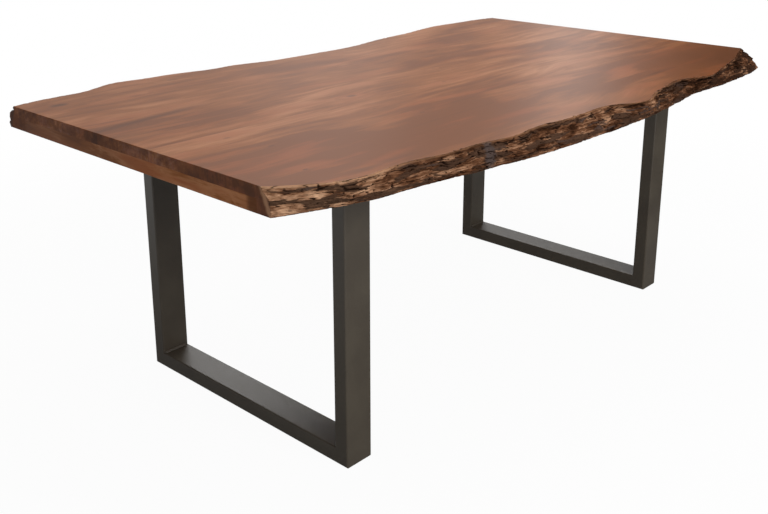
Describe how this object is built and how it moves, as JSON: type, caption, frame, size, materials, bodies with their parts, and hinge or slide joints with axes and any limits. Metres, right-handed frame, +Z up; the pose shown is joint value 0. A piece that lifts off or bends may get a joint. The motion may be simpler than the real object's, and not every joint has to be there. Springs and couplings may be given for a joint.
{
  "type": "live edge dining table",
  "caption": "Rectangular hardwood dining table with waney long edges on two closed U-shaped frames of rectangular steel tube.",
  "frame": {"origin": "on the floor, under the middle of the table's overall box", "axes": "+X along the length of the top towards the right end, +Y towards the back live edge, +Z up"},
  "size_m": [2, 1.1984, 0.76],
  "materials": {
    "stained_acacia": "satin lacquered red-brown acacia",
    "live_edge_acacia": "same timber with a rough bark side",
    "bronze_powder_coat": "fine textured dark bronze powder coat",
    "zinc_plated_steel": "bright zinc plating"
  },
  "bodies": {
    "root": {"front_live_edge_board": "live_edge_acacia", "back_live_edge_board": "live_edge_acacia", "core_board_1": "stained_acacia", "core_board_2": "stained_acacia", "core_board_3": "stained_acacia", "core_board_4": "stained_acacia", "core_board_5": "stained_acacia", "left_end_batten": "stained_acacia", "left_bearer": "stained_acacia", "left_frame_front_post": "bronze_powder_coat", "left_frame_rear_post": "bronze_powder_coat", "left_frame_floor_rail": "bronze_powder_coat", "left_frame_mounting_plate": "bronze_powder_coat", "left_frame_weld_beads": "bronze_powder_coat", "right_end_batten": "stained_acacia", "right_bearer": "stained_acacia", "right_frame_front_post": "bronze_powder_coat", "right_frame_rear_post": "bronze_powder_coat", "right_frame_floor_rail": "bronze_powder_coat", "right_frame_mounting_plate": "bronze_powder_coat", "right_frame_weld_beads": "bronze_powder_coat", "frame_bolts": "zinc_plated_steel", "frame_washers": "zinc_plated_steel", "threaded_inserts": "zinc_plated_steel"}
  },
  "joints": []
}
